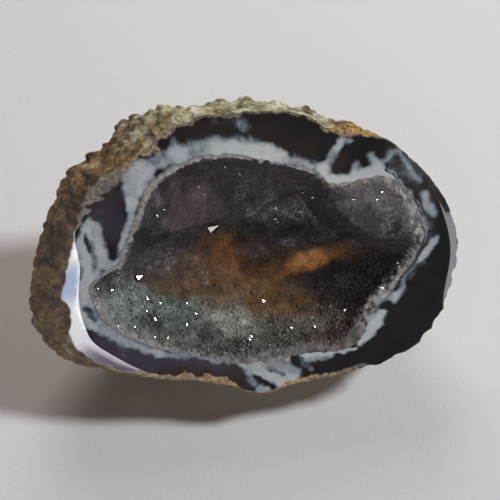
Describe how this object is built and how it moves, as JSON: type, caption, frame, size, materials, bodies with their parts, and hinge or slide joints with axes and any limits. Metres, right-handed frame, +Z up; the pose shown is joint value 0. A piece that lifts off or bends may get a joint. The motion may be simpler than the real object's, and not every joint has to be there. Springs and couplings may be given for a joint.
{
  "type": "druzy agate half nodule",
  "caption": "Half of a hollow agate nodule with a polished sawn face, a rough rind and a hollow lined with druzy quartz. It lies on its back as a display stone.",
  "frame": {"origin": "the middle of the bounding box, at the level that the stone rests on", "axes": "+Z up, +X along the stone's longest extent, and the polished face towards -Y and up, 43 degrees above the horizon and turned 8 degrees towards +X"},
  "size_m": [0.064, 0.0366, 0.0395],
  "materials": {
    "agate": "polished near-black agate with blue-white bands, and a matt brown rind on the back",
    "druzy_quartz": "small bright crystal points, grey-green to smoky brown"
  },
  "bodies": {
    "root": {"agate_nodule": "agate", "druzy_crust": "druzy_quartz"}
  },
  "joints": []
}
